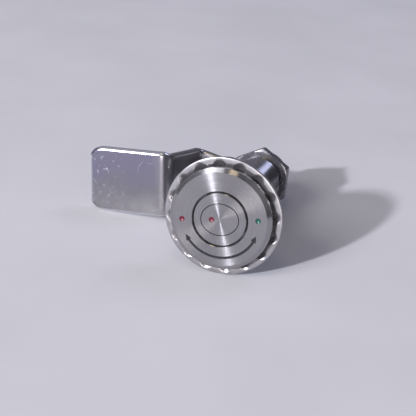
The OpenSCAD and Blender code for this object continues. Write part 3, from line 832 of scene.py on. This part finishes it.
def bent_path(points, radii):
    """Places (run, x, z, slope) along a line whose corners are arcs."""
    places, run = [], 0.0
    here = Vector(points[0])
    for i, corner in enumerate(points[1:]):
        corner = Vector(corner)
        ahead = (corner - here).normalized()
        slope = math.atan2(ahead.y, ahead.x)
        if i < len(radii):
            after = (Vector(points[i + 2]) - corner).normalized()
            bend = ahead.angle_signed(after) * -1
            cut = radii[i] * math.tan(abs(bend) / 2)
        else:
            bend, cut = 0.0, 0.0
        length = (corner - here).length - cut
        parts = max(int(length / CAM_STEP), 1)
        for k in range(parts):
            p = here + ahead * length * k / parts
            places.append((run + length * k / parts, p.x, p.y, slope))
        run += length
        here = corner - ahead * cut
        if bend:
            side = math.copysign(1, bend)
            middle = here + Vector((-math.sin(slope), math.cos(slope))) * radii[i] * side
            for k in range(BEND_STEPS):
                a = slope + bend * k / BEND_STEPS
                p = middle + Vector((math.sin(a), -math.cos(a))) * radii[i] * side
                places.append((run + radii[i] * abs(bend) * k / BEND_STEPS, p.x, p.y, a))
            run += radii[i] * abs(bend)
            here = corner + after * cut
    places.append((run, here.x, here.y, slope))
    return places


def cam_half_width(x):
    """Half of the cam's width at a distance from the axis."""
    if x < CAM_WIDTHS[0][0]:
        return max(math.sqrt(max(CAM_EYE_R ** 2 - x * x, 0)), 0.02)
    if x > CAM_WIDTHS[-1][0]:
        off = min(x - CAM_WIDTHS[-1][0], CAM_CORNER_R)
        return CAM_WIDTHS[-1][1] - CAM_CORNER_R + math.sqrt(CAM_CORNER_R ** 2 - off * off)
    return float(np.interp(x, *zip(*CAM_WIDTHS)))


def cam_grid():
    """Rows along the strip (run, x, z, slope), their lanes across it, and the blank's outline."""
    places = np.array(bent_path(CAM_PATH, CAM_BENDS))
    ends = places[-1, 0]
    runs = sorted(set([0.0, ends] + CAM_NEAR + [ends - d for d in CAM_NEAR]
                      + [r for r in places[:, 0] if CAM_NEAR_END < r < ends - CAM_NEAR_END]
                      + list(np.arange(CAM_NEAR_END, CAM_EYE_END, CAM_STEP))))
    runs = np.array([r for i, r in enumerate(runs) if i == 0 or r - runs[i - 1] > 1e-4])
    x, z, slope = (np.interp(runs, places[:, 0], places[:, i]) for i in (1, 2, 3))
    wide = np.array([cam_half_width(v) for v in x])
    edge = np.concatenate([np.stack([runs, wide], 1), np.stack([runs, -wide], 1)[::-1]])
    inner = np.linspace(-1, 1, CAM_INNER_LANES)[1:-1]
    flat = []
    for w in wide:
        lane = w - np.array(CAM_LANES) * min(1.0, w / CAM_NARROW)
        flat.append(np.concatenate([-lane, inner * lane[-1], lane[::-1]]))
    return runs, x, z, slope, np.array(flat), edge


def cam_mesh():
    """Points and faces of the cam: a rounded blank, bent along its path."""
    runs, x, z, slope, flat, edge = cam_grid()
    rows, columns = flat.shape
    u = np.repeat(runs[:, None], columns, 1)
    start, stop = edge, np.roll(edge, -1, axis=0)
    spot = np.stack([u.ravel(), flat.ravel()], 1)[:, None, :]
    d = stop - start
    t = np.clip(((spot - start) * d).sum(2) / np.maximum((d * d).sum(1), 1e-12), 0, 1)
    away = np.sqrt((((start + d * t[..., None]) - spot) ** 2).sum(2)).min(1)
    away = np.minimum(away, CAM_EDGE_R)
    thick = CAM_T / 2 - CAM_EDGE_R + np.sqrt(CAM_EDGE_R ** 2 - (CAM_EDGE_R - away) ** 2)
    thick = thick.reshape(u.shape)
    turn = math.radians(CAM_ANGLE)
    points = []
    for side in (1, -1):
        px = x[:, None] - np.sin(slope)[:, None] * thick * side
        pz = z[:, None] + np.cos(slope)[:, None] * thick * side
        points.append(np.stack([px * math.cos(turn) - flat * math.sin(turn),
                                px * math.sin(turn) + flat * math.cos(turn), pz],
                               2).reshape(-1, 3))
    points = np.concatenate(points)
    count = rows * columns
    faces = []
    for i in range(rows - 1):
        for j in range(columns - 1):
            a = i * columns + j
            b = count + a
            faces.append((a, a + 1, a + columns + 1, a + columns))
            faces.append((b, b + columns, b + columns + 1, b + 1))
    rim = ([j for j in range(columns - 1)] + [i * columns + columns - 1 for i in range(rows - 1)]
           + [(rows - 1) * columns + j for j in range(columns - 1, 0, -1)]
           + [i * columns for i in range(rows - 1, 0, -1)])
    for a, b in zip(rim, rim[1:] + rim[:1]):
        faces.append((a, b, count + b, count + a))
    return points, faces


# Tumbled sheet: rubbed smooth by the stones, with painted highlights along its edges, a painted
# reflection that is lighter low down and darker and bluer upwards, and small knocks towards its
# upper corner. The scratches are 0.1 mm wide, wider than real ones, so that they show.
cam_steel, tree = new_material("tumbled_sheet")
spot = add(tree, "TexCoord").outputs["Object"]
place = add(tree, "SeparateXYZ", None, {"Vector": spot})
wave = add(tree, "TexNoise", None, {"Vector": spot, "Scale": METRE / CAM_WAVE, "Detail": 3.0})
grain = add(tree, "TexNoise", None, {"Vector": spot, "Scale": METRE / CAM_GRAIN, "Detail": 4.0})

# Painted reflection, on the plate alone: lighter low down, darker and bluer upwards.
drift = add(tree, "Math", {"operation": "MULTIPLY_ADD"}, {
    0: wave.outputs["Fac"], 1: CAM_CLOUD * MM, 2: place.outputs["Z"]})
height = add(tree, "MapRange", None, {
    "Value": drift.outputs[0], "From Min": CAM_REFLECTION_LOW * MM, "From Max": CAM_REFLECTION_HIGH * MM})
painted_reflection = add(tree, "ValToRGB", None, {"Fac": height.outputs["Result"]},
           [(0.0, "#b6b4b5"), (0.2, "#a09ea1"), (0.45, "#8e8c93"), (0.8, "#8a879a")])
far = add(tree, "MapRange", None, {
    "Value": place.outputs["X"], "From Min": -CAM_REFLECTION_FROM * MM,
    "From Max": -(CAM_REFLECTION_FROM + CAM_REFLECTION_FADE) * MM})
painted_reflection = add(tree, "Mix", {"data_type": "RGBA"}, {
    0: far.outputs["Result"], 6: linear("#adabae"), 7: painted_reflection.outputs["Color"]})

# Its scratches: short stretches of the lines between large cells.
cells = add(tree, "TexVoronoi", {"feature": "DISTANCE_TO_EDGE"}, {
    "Vector": spot, "Scale": METRE / SCRATCH_SPAN})
thin = add(tree, "MapRange", None, {
    "Value": cells.outputs["Distance"], "From Min": SCRATCH_WIDTH / SCRATCH_SPAN,
    "From Max": 0.0})
rare = add(tree, "TexNoise", None, {"Vector": spot, "Scale": METRE / CAM_PATCH})
there = add(tree, "MapRange", None, {
    "Value": rare.outputs["Fac"], "From Min": 0.60, "From Max": 0.68, "To Max": 0.7})
scratch = add(tree, "Math", {"operation": "MULTIPLY"}, {
    0: thin.outputs["Result"], 1: there.outputs["Result"]})

# Painted highlights along its edges: the two sides and the far end of the strip.
strip = add(tree, "VectorRotate", {"rotation_type": "Y_AXIS"}, {
    "Vector": spot, "Angle": math.radians(CAM_ANGLE)})
strip = add(tree, "SeparateXYZ", None, {"Vector": strip.outputs["Vector"]})
across = add(tree, "Math", {"operation": "ABSOLUTE"}, {0: strip.outputs["Z"]})
side_highlight = add(tree, "MapRange", None, {
    "Value": across.outputs[0], "From Min": (CAM_WIDTHS[-1][1] - 1.0) * MM,
    "From Max": (CAM_WIDTHS[-1][1] - 0.2) * MM})
end_highlight = add(tree, "MapRange", None, {
    "Value": strip.outputs["X"], "From Min": (CAM_REACH - CAM_EDGE_R) * MM,
    "From Max": (CAM_REACH - 0.5) * MM})
highlight_and_wear = add(tree, "Math", {"operation": "MAXIMUM"}, {
    0: side_highlight.outputs["Result"], 1: end_highlight.outputs["Result"]})
highlight_and_wear = add(tree, "Math", {"operation": "MAXIMUM"}, {
    0: highlight_and_wear.outputs[0], 1: scratch.outputs[0]})

# Its knocks: small bright pits near the plate's outer end, more of them upwards.
pits = add(tree, "TexNoise", None, {"Vector": spot, "Scale": METRE / CAM_PIT, "Detail": 1.0})
knock = add(tree, "MapRange", None, {
    "Value": pits.outputs["Fac"], "From Min": 0.65, "From Max": 0.71})
corner = add(tree, "MapRange", None, {
    "Value": place.outputs["X"], "From Min": -CAM_KNOCK_FROM * MM,
    "From Max": -(CAM_KNOCK_FROM + CAM_KNOCK_FADE) * MM})
knock = add(tree, "Math", {"operation": "MULTIPLY"}, {
    0: knock.outputs["Result"], 1: corner.outputs["Result"]})
knock = add(tree, "Math", {"operation": "MULTIPLY"}, {
    0: knock.outputs[0], 1: height.outputs["Result"]})
highlight_and_wear = add(tree, "Math", {"operation": "MAXIMUM"}, {0: highlight_and_wear.outputs[0], 1: knock.outputs[0]})

# Painted edge highlights, scratches and knocks lighten the tone towards a pale steel.
tone = add(tree, "Mix", {"data_type": "RGBA"}, {
    0: highlight_and_wear.outputs[0], 6: painted_reflection.outputs[2], 7: linear("#e6e6ec")})
gloss = add(tree, "MapRange", None, {
    "Value": grain.outputs["Fac"], "From Min": NOISE_LOW, "From Max": NOISE_HIGH,
    "To Min": 0.22, "To Max": 0.27})
relief = add(tree, "Bump", None, {
    "Height": wave.outputs["Fac"], "Strength": 0.15, "Distance": 0.1 * MM})
skin = add(tree, "BsdfPrincipled", None, {
    "Base Color": tone.outputs[2], "Metallic": 0.9, "Roughness": gloss.outputs["Result"],
    "Normal": relief.outputs["Normal"]})
finished(tree, skin)

points, faces = cam_mesh()
cam = piece("cranked_cam", points, faces, "rotor_set", "cam", cam_steel, smooth=40)
turn = math.radians(CAM_ANGLE)
square = [(CAM_HOLE / 2 * sx, CAM_HOLE / 2 * sy)
          for sx, sy in ((-1, -1), (1, -1), (1, 1), (-1, 1))]
square = [(x * math.cos(turn) - y * math.sin(turn), x * math.sin(turn) + y * math.cos(turn))
          for x, y in square]
cut_away(cam, [(x, y, z) for z in CAM_HOLE_SPAN for x, y in square],
         [(0, 1, 2, 3), (4, 7, 6, 5), (0, 4, 5, 1), (1, 5, 6, 2), (2, 6, 7, 3), (3, 7, 4, 0)])
